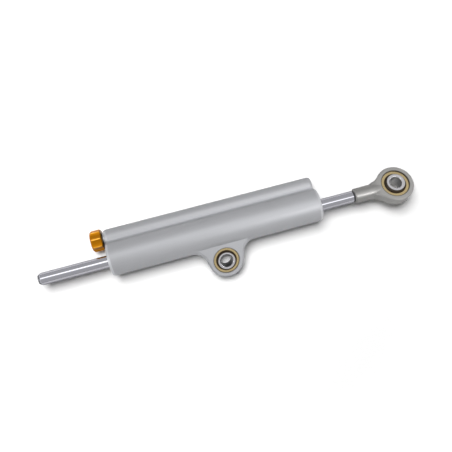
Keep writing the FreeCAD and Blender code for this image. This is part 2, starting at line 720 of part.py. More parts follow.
def make_reservoir():
    """Floating piston and the plug that closes the right end of the reservoir lobe."""
    bore = d.valve_bore_radius
    plug_face = d.plug_clip_recess + d.plug_clip_thickness
    plug_outer = bore - d.seat_clearance
    ring_half = d.plug_ring_radius + d.ring_groove_room / 2
    plug_floor = plug_outer - d.plug_ring_radius * 2 + d.seat_clearance
    middle = (d.plug_length + d.plug_socket_depth) / 2
    plug = turned("reservoir_plug", valve_axis, right_end - plug_face, [
        (0, 0), (0, plug_outer), (middle - ring_half, plug_outer), (middle - ring_half, plug_floor),
        (middle + ring_half, plug_floor), (middle + ring_half, plug_outer), (d.plug_length, plug_outer),
        (d.plug_length, 0)], flipped=True)
    hexagon_socket(plug, "plug_socket", d.plug_socket_radius, d.plug_socket_depth)
    ring("plug_o_ring", valve_axis, right_end - plug_face - middle, plug_floor + d.plug_ring_radius,
         d.plug_ring_radius - d.seat_clearance)
    clip_outer = bore + d.plug_clip_depth - d.seat_clearance
    turned("plug_circlip", valve_axis, right_end - d.plug_clip_recess,
           tube(d.plug_clip_thickness, clip_outer - d.plug_clip_depth - d.plug_clip_height, clip_outer),
           flipped=True, angle=as_size(360) - d.clip_gap_angle)

    slide = bore - d.running_clearance
    slide_floor = slide - d.plug_ring_radius * 2
    centre = d.float_length / 2
    start = right_end - d.float_from_end
    turned("floating_piston", valve_axis, start, [
        (0, 0), (0, slide), (centre - ring_half, slide), (centre - ring_half, slide_floor),
        (centre + ring_half, slide_floor), (centre + ring_half, slide), (d.float_length, slide),
        (d.float_length, 0)], flipped=True)
    ring("floating_piston_o_ring", valve_axis, start - centre, slide_floor + d.plug_ring_radius,
         d.plug_ring_radius - d.seat_clearance)


def make_bearing(prefix, ball_radius, ball_width, race_radius, race_width):
    """A spherical bearing about Z: a race with a hollow sphere, and a bored ball with flat ends."""
    ball = doc.addObject("Part::Sphere", f"{prefix}_sphere")
    bind(ball, "Radius", ball_radius)
    cut_angle = latitude(ball_width / 2, ball_radius)
    bind(ball, "Angle1", -cut_angle)
    bind(ball, "Angle2", cut_angle)
    bore = doc.addObject("Part::Cylinder", f"{prefix}_bore")
    bind(bore, "Radius", d.pivot_bore_radius)
    bind(bore, "Height", ball_width * 2)
    bind(bore, "Placement.Base.z", -ball_width)
    bored = doc.addObject("Part::Cut", f"{prefix}_bored_ball")
    bored.Base = ball
    bored.Tool = bore
    doc.recompute()
    finished = doc.addObject("Part::Chamfer", f"{prefix}_ball")
    finished.Base = bored
    mouths = [i for i, edge in enumerate(bored.Shape.Edges, start=1)
              if edge.Curve.TypeId == "Part::GeomCircle" and edge.Closed
              and abs(edge.Curve.Radius - d.pivot_bore_radius.number) < 1e-6]
    width = d.pivot_bore_chamfer.number
    finished.Edges = [(index, width, width) for index in mouths]

    blank = doc.addObject("Part::Cylinder", f"{prefix}_race_blank")
    bind(blank, "Radius", race_radius - d.seat_clearance)
    bind(blank, "Height", race_width)
    bind(blank, "Placement.Base.z", -race_width / 2)
    hollow = doc.addObject("Part::Sphere", f"{prefix}_hollow")
    bind(hollow, "Radius", ball_radius + d.ball_clearance)
    race = doc.addObject("Part::Cut", f"{prefix}_race")
    race.Base = blank
    race.Tool = hollow
    return finished, race


def make_bearings():
    lug_ball, lug_race = make_bearing("lug", d.lug_ball_radius, d.lug_ball_width, d.lug_race_radius,
                                      d.lug_race_width)
    eye_ball, eye_race = make_bearing("rod_end", d.eye_ball_radius, d.eye_ball_width, d.eye_race_radius,
                                      d.eye_race_width)
    for piece in (lug_ball, lug_race, eye_ball, eye_race):
        piece.Label = piece.Name
    for piece in (eye_ball, eye_race):
        roll_about_rod(piece, eye_centre)


def roll_about_rod(piece, station):
    """Put a piece of the rod end on the rod's axis, rolled about it."""
    piece.Placement = FreeCAD.Placement(
        FreeCAD.Vector(), FreeCAD.Rotation(FreeCAD.Vector(1, 0, 0), d.eye_roll.number))
    bind(piece, "Placement.Rotation.Angle", d.eye_roll)
    bind(piece, "Placement.Base.x", station)
    bind(piece, "Placement.Base.y", rod_axis[0])
    bind(piece, "Placement.Base.z", rod_axis[1])


def make_rod_end():
    """Eye with a round shank that flattens into it, screwed on the rod's stud."""
    body = new_body("rod_end")
    eye_half = d.eye_thickness / 2
    start = -d.eye_from_shank
    reach = d.eye_radius + d.neck_fillet
    rise = d.shank_radius + d.neck_fillet
    back = root(reach * reach - rise * rise)
    drop = d.shank_radius - eye_half
    dive = [(d.neck_length * share - back, d.shank_radius - drop * share * share)
            for share in (0, 0.2, 0.4, 0.6, 0.8, 1)]
    revolve(body, "shank", [
        (start, 0), (start, d.shank_radius - d.shank_chamfer), (start + d.shank_chamfer, d.shank_radius),
        *dive, (0, eye_half), (0, 0)])

    # Plan of the eye: a disc with arms that sweep out of the shank through a fillet on each side.
    disc = new_sketch(body, "eye_disc")
    draw_circle(disc, (0, 0), d.eye_radius)
    eye = body.newObject("PartDesign::Pad", "eye")
    eye.Profile = disc
    eye.SideType = "Symmetric"
    bind(eye, "Length", d.eye_thickness)

    touch = (-back * d.eye_radius / reach, rise * d.eye_radius / reach)
    foot = (-back, d.shank_radius)
    web = new_sketch(body, "neck_plan")
    up = FreeCAD.Vector(0, 0, 1)

    def spot(pair, mirror=1):
        return FreeCAD.Vector(as_size(pair[0]).number, mirror * as_size(pair[1]).number, 0)

    def mirrored(pair):
        return (pair[0], -pair[1])

    angle_touch = math.atan2(touch[1].number - rise.number, touch[0].number + back.number)
    upper = Part.Circle(FreeCAD.Vector(-back.number, rise.number, 0), up, d.neck_fillet.number)
    lower = Part.Circle(FreeCAD.Vector(-back.number, -rise.number, 0), up, d.neck_fillet.number)
    web.addGeometry([
        Part.ArcOfCircle(upper, -math.pi / 2, angle_touch),
        Part.LineSegment(spot(touch), spot(touch, -1)),
        Part.ArcOfCircle(lower, -angle_touch, math.pi / 2),
        Part.LineSegment(spot(foot, -1), spot(foot)),
    ], False)
    for first, first_end, second, second_end in ((0, 2, 1, 1), (1, 2, 2, 1), (2, 2, 3, 1), (3, 2, 0, 1)):
        web.addConstraint(Sketcher.Constraint("Coincident", first, first_end, second, second_end))
    fix_radius(web, 0, d.neck_fillet)
    fix_point(web, 1, 1, touch)
    fix_radius(web, 2, d.neck_fillet)
    fix_point(web, 1, 2, mirrored(touch))
    fix_point(web, 3, 1, mirrored(foot))
    fix_point(web, 3, 2, foot)
    neck = body.newObject("PartDesign::Pad", "neck_web")
    neck.Profile = web
    neck.SideType = "Symmetric"
    bind(neck, "Length", d.eye_thickness)
    doc.recompute()

    def eye_rim(edge):
        round_edge = edge.Curve.TypeId == "Part::GeomCircle"
        flat = any(on_plane(edge, "z", side * eye_half.number) for side in (1, -1))
        return round_edge and flat

    chamfer(body, "eye_edges", neck, edges_where(neck.Shape, eye_rim), d.eye_edge)

    # The arms' corners are turned down to a cone where they leave the shank.
    relief_end = d.neck_relief_length - back
    relief_top = d.shank_radius + d.neck_relief_height
    revolve(body, "neck_relief", [(-back, d.shank_radius), (relief_end, relief_top), (-back, relief_top)],
            kind="PartDesign::Groove")

    seat = new_sketch(body, "race_seat")
    draw_circle(seat, (0, 0), d.eye_race_radius)
    bearing = body.newObject("PartDesign::Pocket", "race_bore")
    bearing.Profile = seat
    bearing.SideType = "Symmetric"
    bind(bearing, "Length", d.eye_thickness * 2)
    stud = d.stud_radius + d.seat_clearance
    depth = start + d.stud_length
    revolve(body, "stud_hole", [(start, 0), (start, stud), (depth, stud), (depth, 0)],
            kind="PartDesign::Groove")
    roll_about_rod(body, eye_centre)
    return body


make_cylinder_body()
make_seal_heads()
make_rod_and_piston()
make_bleed_valve()
make_reservoir()
make_bearings()
make_rod_end()
doc.recompute()

NODE_NAMES = [item.Label for item in doc.Objects if item.isDerivedFrom("PartDesign::Body")]
NODE_NAMES += [item.Label for item in doc.Objects if item.isDerivedFrom("Part::Torus")]
NODE_NAMES += ["lug_ball", "lug_race", "rod_end_ball", "rod_end_race"]

for item in doc.Objects:
    if "Invalid" in item.State or "Error" in item.State:
        raise RuntimeError(f"{item.Name} failed: {item.State}")

os.makedirs("parts", exist_ok=True)
for name in NODE_NAMES:
    shape = doc.getObjectsByLabel(name)[0].Shape
    if shape.isNull() or not shape.isValid() or not shape.Solids:
        raise RuntimeError(f"{name} has no valid solid")
    shape.exportStep(f"parts/{name}.step")
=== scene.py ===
import json
import math

import bpy
from mathutils import Euler, Matrix, Vector


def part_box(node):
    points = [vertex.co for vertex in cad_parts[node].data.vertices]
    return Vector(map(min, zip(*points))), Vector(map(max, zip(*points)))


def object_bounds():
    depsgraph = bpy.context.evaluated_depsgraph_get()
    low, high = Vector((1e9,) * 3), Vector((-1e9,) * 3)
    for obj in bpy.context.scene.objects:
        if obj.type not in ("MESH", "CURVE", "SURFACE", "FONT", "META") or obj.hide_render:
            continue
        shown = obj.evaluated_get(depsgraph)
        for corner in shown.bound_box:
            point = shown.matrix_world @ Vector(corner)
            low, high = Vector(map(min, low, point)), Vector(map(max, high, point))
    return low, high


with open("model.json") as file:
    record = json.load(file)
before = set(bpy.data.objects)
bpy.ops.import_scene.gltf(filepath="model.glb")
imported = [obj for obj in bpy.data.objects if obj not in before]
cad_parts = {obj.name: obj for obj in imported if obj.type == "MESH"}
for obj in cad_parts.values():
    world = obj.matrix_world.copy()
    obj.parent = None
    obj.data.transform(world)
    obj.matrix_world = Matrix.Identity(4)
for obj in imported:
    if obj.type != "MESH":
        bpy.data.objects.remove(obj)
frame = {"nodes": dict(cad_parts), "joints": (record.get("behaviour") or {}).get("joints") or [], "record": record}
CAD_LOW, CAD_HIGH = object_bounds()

bl_info = {
    "name": "Steering damper",
    "version": (1, 0, 0),
    "blender": (4, 5, 0),
    "location": "3D View > Sidebar > Damper",
    "description": "Finishes a steering damper and sets it on a plain studio table",
    "category": "Object",
}

# Places and directions, from the frame
NODES = frame["nodes"]
MOUNTS = {mount["name"]: mount for mount in frame["record"]["mounts"]}
JOINTS = {joint["name"]: joint for joint in frame["joints"]}
MIDDLE = (CAD_LOW + CAD_HIGH) / 2
ROD_AXIS = Vector(JOINTS["rod_turn"]["pos_m"])
ALONG_ROD = Vector(JOINTS["rod_turn"]["axis"])
VALVE_AXIS = Vector(JOINTS["knob_turn"]["pos_m"])
LUG_CENTRE = Vector(MOUNTS["body_pivot_bore"]["pos_m"])
LUG_NORMAL = Vector(MOUNTS["body_pivot_bore"]["axis"])
EYE_CENTRE = Vector(MOUNTS["rod_end_bore"]["pos_m"])
EYE_NORMAL = Vector(MOUNTS["rod_end_bore"]["axis"])
BORE_RADIUS = MOUNTS["rod_end_bore"]["dims"]["r_mm"] / 1000

# Where a finish starts to change and where it has changed, in metres
TAPER = (0.0014, 0.0018)  # from each end of the body
ROUND_ROD = (0.0105, 0.0125)  # from the rod's axis, on the body's right end
HOLLOW_FROM_ROD = (0.0126, 0.0138)  # the body's hollows lie near both axes
HOLLOW_FROM_VALVE = (0.0080, 0.0110)
ROD_TIP = (0.0012, 0.0016)  # from the rod's free end
SHANK_BLEND = 0.002  # to each side of where the eye starts
OIL_RING = (0.00950, 0.00985)  # from the eye's axis
KNOB_CREST = (0.00670, 0.00698)  # from the knob's axis
KNOB_SHADE_BAND = (0.0008, 0.0005)  # back from the knob's inner end
BORE_EDGE = (BORE_RADIUS + 0.00020, BORE_RADIUS + 0.00045)
BALL_FLAT = {"lug": 0.00535, "rod_end": 0.00580}  # outer radius of the ball's flat face
RACE_RIMS = {"lug": (0.0067, 0.0083), "rod_end": (0.0072, 0.0092)}  # radii between which a race is not darkened
RIM_BLEND = 0.0003
BELOW_BORE = (0.0026, 0.0052)  # from the line of light through the lug's bore
TABLE_FAR = (0.10, 0.42)  # on the table, from the damper's middle

# How much lighter or darker a place is made than the rest of its piece: painted light in the body's hollows, a
# painted highlight on its end tapers, painted shade on the rod end's shank, and a darker rod tip
HOLLOW_PAINTED_LIGHT = 0.36
SHANK_PAINTED_SHADE = 0.18
END_HIGHLIGHT_GAIN = 1.22
TIP_GAIN = 0.4

# Colours of stains and wear, of painted shade and highlights, and of the stage
OIL = (0.05, 0.04, 0.03)
KNOB_INNER_SHADE = (0.07, 0.038, 0.002)
WORN_GOLD_AND_HIGHLIGHT = (0.95, 0.52, 0.08)
PATINA = (0.42, 0.30, 0.15)
RIM_DARK = (0.035, 0.022, 0.010)
GREASE_AND_GAP_SHADE = (0.030, 0.018, 0.008)
# Grey of the painted shade in the balls' bores, deeper in the lug's than in the eye's
BORE_SHADE_TONE = {"lug": 0.05, "rod_end": 0.44}
RUBBER_BLOOM = (0.05, 0.05, 0.052)
PLASTIC_FLECK = (0.45, 0.30, 0.16)
ROD_EDGE = (0.30, 0.30, 0.30)  # tint of grazing reflections
ROD_END_EDGE = (0.5, 0.5, 0.5)
TABLE_WHITE = (0.93, 0.93, 0.93)
BLACK = (0, 0, 0)
WHITE = (1, 1, 1)

# The stage's own sizes, in metres, and its lights
TABLE_WIDTH = 6
CARD_SIZE = (1.6, 0.5)
CARD_DISTANCE = 0.7
CARD_RISE = {"card_high": math.radians(58), "card_low": math.radians(-45)}
SENSOR_WIDTH = 36  # millimetres
CLIP_START = 0.01
LIGHTS = ("table", "key", "low", "side", "left", "streak")

# Settings that several nodes, shaders or properties share
BEVEL_SAMPLES = 6
FINE_GRAIN = 1800  # features to the metre
COARSE_GRAIN = 1200
MATT = {"Roughness": 0.9, "Specular_IOR_Level": 0.0}
COLOUR = {"subtype": "COLOR", "size": 3, "min": 0, "max": 1}
LENGTHS = {"subtype": "TRANSLATION", "unit": "LENGTH"}
LIGHT_SIZE = {"description": "Length along the rod, and width", "size": 2, **LENGTHS}
LIGHT_PLACE = {"description": "Right, up and back in the camera's view", **LENGTHS}


class Field:
    """A socket of a node tree. Python's operators on it add Math nodes."""

    def __init__(self, nodes, socket):
        self.nodes = nodes
        self.socket = socket

    def math(self, operation, *values):
        return self.nodes.node("ShaderNodeMath", {"operation": operation}, dict(enumerate(values)))

    def __add__(self, other):
        return self.math("ADD", self, other)

    def __radd__(self, other):
        return self.math("ADD", other, self)

    def __sub__(self, other):
        return self.math("SUBTRACT", self, other)

    def __rsub__(self, other):
        return self.math("SUBTRACT", other, self)

    def __mul__(self, other):
        return self.math("MULTIPLY", self, other)

    def __rmul__(self, other):
        return self.math("MULTIPLY", other, self)

    def __pow__(self, other):
        return self.math("POWER", self, other)

    def either(self, other):
        """The larger of two fields."""
        return self.math("MAXIMUM", self, other)

    def band(self, low, high):
        """0 below low, 1 above high, and smooth between them."""
        return self.nodes.node("ShaderNodeMapRange", {"interpolation_type": "SMOOTHSTEP"},
                               {"Value": self, "From Min": low, "From Max": high}, out="Result")


class Nodes:
    """A node tree that nodes are added to by their type, settings and sockets."""

    def __init__(self, tree):
        self.tree = tree

    def first(self, kind):
        return next(node for node in self.tree.nodes if node.type == kind)

    def plug(self, socket, value):
        """Link a field to a socket, or set the socket to a plain value."""
        if isinstance(value, Field):
            self.tree.links.new(value.socket, socket)
        else:
            socket.default_value = value

    def node(self, kind, settings=None, sockets=None, out=0):
        """Add a node: its settings come first, then its sockets' values or links."""
        node = self.tree.nodes.new(kind)
        for key, value in (settings or {}).items():
            setattr(node, key, value)
        for key, value in (sockets or {}).items():
            self.plug(node.inputs[key], value)
        return Field(self, node.outputs[out])


class Finish(Nodes):
    """A material in the making, with a Principled shader and the fields that feed it."""

    def __init__(self, name):
        self.material = bpy.data.materials.new(name)
        self.material.use_nodes = True
        super().__init__(self.material.node_tree)
        self.shader = self.first("BSDF_PRINCIPLED")
        self.place = self.node("ShaderNodeTexCoord", out="Object")

    def mapped(self, centre=(0, 0, 0), turn=(0, 0, 0), scale=(1, 1, 1)):
        """Object coordinates moved to a centre, turned and stretched."""
        shifted = self.node("ShaderNodeVectorMath", {"operation": "SUBTRACT"},
                            {0: self.place, 1: tuple(centre)})
        return self.node("ShaderNodeMapping", {"vector_type": "TEXTURE"},
                         {"Vector": shifted, "Rotation": tuple(turn), "Scale": tuple(scale)})

    def noise(self, scale, detail, roughness=0.5, vector=None):
        """Noise from 0 to 1 of a number of features to the metre."""
        return self.node("ShaderNodeTexNoise", None,
                         {"Vector": vector or self.place, "Scale": scale, "Detail": detail,
                          "Roughness": roughness}, out="Fac")

    def part(self, vector, axis):
        return self.node("ShaderNodeSeparateXYZ", None, {0: vector}, out=axis)

    def along(self):
        """Place along the rod, in metres."""
        return self.part(self.place, "X")

    def reach(self, centre, axis):
        """Distance from an axis, in metres."""
        local = self.mapped(centre, axis.to_track_quat("Z", "Y").to_euler())
        across = self.part(local, "X")
        upward = self.part(local, "Y")
        return (across * across + upward * upward) ** 0.5

    def blend(self, share, first, second):
        """A colour between two, by a share from 0 to 1."""
        return self.node("ShaderNodeMix", {"data_type": "RGBA", "clamp_factor": True},
                         {0: share, 6: first, 7: second}, out=2)

    def shade(self, base, tone):
        """A colour made lighter or darker by a field."""
        return self.node("ShaderNodeVectorMath", {"operation": "SCALE"}, {0: tuple(base), "Scale": tone})

    def bump(self, height, distance, strength, radius=0.0):
        """Feed a relief in metres to the shader, over edges that are rounded by a radius."""
        sockets = {"Height": height, "Distance": distance, "Strength": strength}
        if radius:
            sockets["Normal"] = self.node("ShaderNodeBevel", {"samples": BEVEL_SAMPLES}, {"Radius": radius})
        self.feed(Normal=self.node("ShaderNodeBump", None, sockets))

    def feed(self, **sockets):
        """Set the shader's sockets, named with underscores for spaces."""
        for key, value in sockets.items():
            self.plug(self.shader.inputs[key.replace("_", " ")], value)

    def assign(self, *names):
        for name in names:
            slots = NODES[name].data.materials
            slots.clear()
            slots.append(self.material)


def colour(values, gain=1.0):
    """An opaque colour, made lighter or darker by a gain."""
    return tuple(value * gain for value in values[:3]) + (1.0,)


def left_and_right(*names):
    """Names of the pieces that come as a left one and a right one."""
    return [f"{name}_{side}" for name in names for side in ("left", "right")]


class DamperColours(bpy.types.PropertyGroup):
    """Colours of the damper's finishes."""

    body: bpy.props.FloatVectorProperty(
        name="Body", description="Bead-blasted aluminium of the body",
        default=(0.455, 0.461, 0.482), **COLOUR)
    rod: bpy.props.FloatVectorProperty(
        name="Rod", description="Hard chrome of the rod",
        default=(0.40, 0.40, 0.435), **COLOUR)
    rod_end: bpy.props.FloatVectorProperty(
        name="Rod end", description="Machined aluminium of the rod end",
        default=(0.33, 0.325, 0.317), **COLOUR)
    knob: bpy.props.FloatVectorProperty(
        name="Knob", description="Gold anodising of the knob",
        default=(0.49, 0.18, 0.003), **COLOUR)
    race: bpy.props.FloatVectorProperty(
        name="Race", description="Brass of the bearing races, the rod's bushes and the valve",
        default=(0.50, 0.395, 0.21), **COLOUR)
    ball: bpy.props.FloatVectorProperty(
        name="Ball", description="Ground steel of the bearing balls",
        default=(0.54, 0.53, 0.55), **COLOUR)
    steel: bpy.props.FloatVectorProperty(
        name="Spring steel", description="Oiled steel of the circlips, spindle, needle and knob screw",
        default=(0.30, 0.30, 0.31), **COLOUR)
    machined: bpy.props.FloatVectorProperty(
        name="Machined aluminium", description="Seal heads, pistons, gland and plug",
        default=(0.42, 0.42, 0.43), **COLOUR)
    rubber: bpy.props.FloatVectorProperty(
        name="Rubber", description="Seals, wipers and O-rings",
        default=(0.018, 0.018, 0.019), **COLOUR)
    plastic: bpy.props.FloatVectorProperty(
        name="Band plastic", description="Guide band of the piston",
        default=(0.30, 0.19, 0.10), **COLOUR)


class DamperStage(bpy.types.PropertyGroup):
    """Camera, table and lights."""

    lens: bpy.props.FloatProperty(
        name="Lens", description="Focal length on a 36 mm sensor", subtype="DISTANCE_CAMERA",
        default=40.9745)
    camera: bpy.props.FloatVectorProperty(
        name="Camera", description="Where the camera stands", precision=6,
        default=(-0.027212, 0.108292, 0.318578), **LENGTHS)
    aim: bpy.props.FloatVectorProperty(
        name="Aim", description="Camera's turn about X, Y and Z", subtype="EULER", unit="ROTATION",
        default=tuple(math.radians(angle) for angle in (-13.478305, -9.090009, -12.991132)))
    table_tilt: bpy.props.FloatProperty(
        name="Table tilt", subtype="ANGLE", default=math.radians(-20.8),
        description="Turn of the table about the rod, so that the body and the knob rest on it")
    table_gap: bpy.props.FloatProperty(
        name="Table gap", description="Room between the damper's lowest point and the table",
        subtype="DISTANCE", default=0.0002)
    # A painted pool of light on the table below the lug's bore
    painted_bore_light: bpy.props.FloatProperty(
        name="Bore glow", description="Light on the table below the lug's bore", default=0.20)
    shadow_lift: bpy.props.FloatProperty(
        name="Shadow lift", description="Light on the table in the damper's shadow", default=0.045)
    card_tone: bpy.props.FloatProperty(
        name="Card tone", description="Brightness of the grey cards that polished metal mirrors",
        default=0.78)
    room: bpy.props.FloatProperty(
        name="Room", description="Even light of the room", default=0.08)
    table_power: bpy.props.FloatProperty(
        name="Table light", description="Power of the light that draws the shadow on the table",
        unit="POWER", default=10.1)
    table_size: bpy.props.FloatVectorProperty(name="Table light size", default=(0.52, 0.52), **LIGHT_SIZE)
    table_place: bpy.props.FloatVectorProperty(
        name="Table light place", default=(-0.16, 0.295, 0.83), **LIGHT_PLACE)
    key_power: bpy.props.FloatProperty(
        name="Key light", description="Power of the long softbox over the damper", unit="POWER",
        default=2.75)
    key_size: bpy.props.FloatVectorProperty(name="Key size", default=(0.95, 0.24), **LIGHT_SIZE)
    key_place: bpy.props.FloatVectorProperty(name="Key place", default=(0.0, 0.36, 0.84), **LIGHT_PLACE)
    low_power: bpy.props.FloatProperty(
        name="Low light", description="Power of the fill on the lug's side", unit="POWER", default=0.15)
    low_size: bpy.props.FloatVectorProperty(name="Low size", default=(0.9, 0.5), **LIGHT_SIZE)
    low_place: bpy.props.FloatVectorProperty(name="Low place", default=(-0.30, -0.72, 0.42), **LIGHT_PLACE)
    side_power: bpy.props.FloatProperty(
        name="Side light", description="Power of the small light that draws the streak on the right half",
        unit="POWER", default=1.5)
    side_size: bpy.props.FloatVectorProperty(name="Side size", default=(0.16, 0.12), **LIGHT_SIZE)
    side_place: bpy.props.FloatVectorProperty(name="Side place", default=(0.355, -0.06, 0.50), **LIGHT_PLACE)
    streak_power: bpy.props.FloatProperty(
        name="Streak light", description="Power of the light that draws the streak on the rod",
        unit="POWER", default=3.60)
    streak_size: bpy.props.FloatVectorProperty(
        name="Streak size", description="Length and width", size=2, default=(1.3, 0.42), **LENGTHS)
    streak_place: bpy.props.FloatVectorProperty(
        name="Streak place", default=(0.17, 0.065, 0.90), **LIGHT_PLACE)
    streak_turn: bpy.props.FloatProperty(
        name="Streak turn", description="Turn of the streak light's length from the rod",
        subtype="ANGLE", default=math.radians(-33.0))
    left_power: bpy.props.FloatProperty(
        name="Left light", description="Power of the small light on the left end's taper", unit="POWER",
        default=1.2)
    left_size: bpy.props.FloatVectorProperty(name="Left size", default=(0.2, 0.2), **LIGHT_SIZE)
    left_place: bpy.props.FloatVectorProperty(
        name="Left place", default=(-0.675, -0.21, 0.37), **LIGHT_PLACE)


class DAMPER_OT_body(bpy.types.Operator):
    """Satin aluminium body, with painted light in its hollows, and shinier with a painted highlight on the left
    end's taper and, round the rod, on the right end's
    """

    bl_idname = "damper.body"
    bl_label = "Finish the body"

    def execute(self, context):
        finish = Finish("satin_body_aluminium")
        base = context.scene.damper_colours.body
        clouds = finish.noise(38, detail=4)
        blast = finish.noise(5200, detail=2, roughness=0.6)
        grain = finish.noise(1500, detail=3, roughness=0.65)
        drawn = finish.noise(900, detail=2, vector=finish.mapped(scale=(14, 1, 1)))
        from_rod = finish.reach(ROD_AXIS, ALONG_ROD)
        from_valve = finish.reach(VALVE_AXIS, ALONG_ROD)
        hollow = (1 - from_rod.band(*HOLLOW_FROM_ROD)) * (1 - from_valve.band(*HOLLOW_FROM_VALVE))
        # The hollows get a lighter colour: painted light that cancels the shade in them
        tone = (clouds * 0.10 + grain * 0.10 + drawn * 0.05 + 0.88) * (1 + hollow * HOLLOW_PAINTED_LIGHT)
        shade = finish.shade(base, tone)
        low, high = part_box("cylinder_body")
        start, end = TAPER
        along = finish.along()
        near_rod = 1 - from_rod.band(*ROUND_ROD)
        left_end = 1 - along.band(low.x + start, low.x + end)
        right_end = along.band(high.x - end, high.x - start) * near_rod
        ends = left_end + right_end
        # The end tapers get a lighter colour, a painted highlight, as well as more metal and less roughness
        finish.feed(Base_Color=finish.blend(ends, shade, colour(base, END_HIGHLIGHT_GAIN)), Metallic=0.3 + ends * 0.2,
                    Roughness=0.45 + clouds * 0.06 + blast * 0.05 - ends * 0.04)
        finish.bump(blast + grain * 0.5, distance=0.000012, strength=0.55, radius=0.00018)
        finish.assign("cylinder_body")
        return {"FINISHED"}


class DAMPER_OT_rod(bpy.types.Operator):
    """Ground and hard chromed rod, with grinding rings, faint lengthwise wear and a darker, rougher tip"""

    bl_idname = "damper.rod"
    bl_label = "Finish the rod"

    def execute(self, context):
        finish = Finish("ground_chrome")
        base = context.scene.damper_colours.rod
        rings = finish.noise(2600, detail=2, vector=finish.mapped(scale=(1, 60, 60)))
        wear = finish.noise(420, detail=3, vector=finish.mapped(ROD_AXIS, scale=(40, 1, 1)))
        clouds = finish.noise(60, detail=2)
        shade = finish.shade(base, rings * 0.06 + clouds * 0.05 + 0.92)
        tip_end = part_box("piston_rod")[0].x
        start, end = ROD_TIP
        tip = 1 - finish.along().band(tip_end + start, tip_end + end)
        finish.feed(Base_Color=finish.blend(tip, shade, colour(base, TIP_GAIN)), Metallic=1.0,
                    Roughness=0.055 + wear.band(0.55, 0.8) * 0.06 + tip * 0.2,
                    Specular_Tint=colour(ROD_EDGE))
        finish.bump(rings + wear * 0.4, distance=0.000002, strength=0.5, radius=0.00012)
        finish.assign("piston_rod")
        return {"FINISHED"}


class DAMPER_OT_rod_end(bpy.types.Operator):
    """Turned and milled aluminium on the rod end, with painted shade on the shank and an oily ring round the race
    """

    bl_idname = "damper.rod_end"
    bl_label = "Finish the rod end"

    def execute(self, context):
        finish = Finish("rod_end_aluminium")
        base = context.scene.damper_colours.rod_end
        clouds = finish.noise(90, detail=4)
        grain = finish.noise(2600, detail=3, roughness=0.65)
        turned = finish.noise(3000, detail=2, vector=finish.mapped(scale=(1, 40, 40)))
        eye_start = 2 * EYE_CENTRE.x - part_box("rod_end")[1].x
        shank = 1 - finish.along().band(eye_start - SHANK_BLEND, eye_start + SHANK_BLEND)
        # The shank gets a darker colour: painted shade
        tone = (clouds * 0.14 + grain * 0.10 + turned * 0.06 + 0.84) * (1 - shank * SHANK_PAINTED_SHADE)
        shade = finish.shade(base, tone)
        oil = 1 - finish.reach(EYE_CENTRE, EYE_NORMAL).band(*OIL_RING)
        finish.feed(Base_Color=finish.blend(oil * 0.8, shade, colour(OIL)), Metallic=0.65 - oil * 0.4,
                    Roughness=0.42 + grain * 0.10 - shank * 0.05, Specular_Tint=colour(ROD_END_EDGE))
        finish.bump(grain + turned * 0.6, distance=0.000008, strength=0.5, radius=0.0003)
        finish.assign("rod_end")
        return {"FINISHED"}


class DAMPER_OT_knob(bpy.types.Operator):
    """Gold anodised knob, with wear and a painted highlight that lighten its crests, and painted shade at its
    inner end
    """

    bl_idname = "damper.knob"
    bl_label = "Finish the knob"

    def execute(self, context):
        finish = Finish("gold_anodise")
        base = context.scene.damper_colours.knob
        crest_wear_and_highlight = finish.reach(VALVE_AXIS, ALONG_ROD).band(*KNOB_CREST)
        clouds = finish.noise(240, detail=3)
        grain = finish.noise(3800, detail=2, roughness=0.6)
        dye = finish.blend(clouds * 0.6 + grain * 0.25, colour(base, 0.78), colour(base, 1.08))
        inner_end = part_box("adjuster_knob")[1].x
        start, end = KNOB_SHADE_BAND
        # A dark band at the knob's inner end: painted shade in its chamfer
        inner_shade = finish.along().band(inner_end - start, inner_end - end)
        dye = finish.blend(inner_shade * 0.8, dye, colour(KNOB_INNER_SHADE))
        # The crests are lighter: wear and a painted highlight
        dye = finish.blend(crest_wear_and_highlight * 0.55 * (1 - inner_shade), dye, colour(WORN_GOLD_AND_HIGHLIGHT))
        finish.feed(Base_Color=dye, Metallic=0.95, Roughness=0.34 + grain * 0.08 - crest_wear_and_highlight * 0.08)
        finish.bump(grain, distance=0.000006, strength=0.4, radius=0.00018)
        finish.assign("adjuster_knob")
        return {"FINISHED"}


def turned_brass(name, base, centre, axis, rough=0.22, rims=None):
    """Brass with the rings that a lathe leaves about an axis, and darker outside its rims if they are given."""
    finish = Finish(name)
    reach = finish.reach(centre, axis)
    rings = finish.node("ShaderNodeTexNoise", {"noise_dimensions": "1D"},
                        {"W": reach, "Scale": 9000.0, "Detail": 2.0}, out="Fac")
    clouds = finish.noise(260, detail=3)
    patina = finish.noise(900, detail=4, roughness=0.6)
    tint = finish.blend(clouds, colour(base, 0.82), colour(base, 1.06))
    tint = finish.blend(patina.band(0.58, 0.78) * 0.5, tint, colour(PATINA))
    if rims:
        inner, outer = rims
        off_rims = 1 - reach.band(inner, inner + RIM_BLEND) * (1 - reach.band(outer - RIM_BLEND, outer))
        tint = finish.blend(off_rims * 0.92, tint, colour(RIM_DARK))
    finish.feed(Base_Color=tint, Metallic=0.9, Roughness=rough + rings * 0.08 + patina * 0.06)
    finish.bump(rings + patina * 0.3, distance=0.000006, strength=0.45)
    return finish


def ground_grain(finish, base, scale=FINE_GRAIN):
    """Feed the relief of ground metal, and give its grain, its stains and the colour that they leave."""
    grain = finish.noise(scale * 2, detail=3, roughness=0.6)
    stains = finish.noise(scale / 6, detail=4, roughness=0.6)
    finish.bump(grain, distance=0.000003, strength=0.4, radius=0.00012)
    return grain, stains, finish.blend(stains, colour(base, 0.86), colour(base, 1.05))


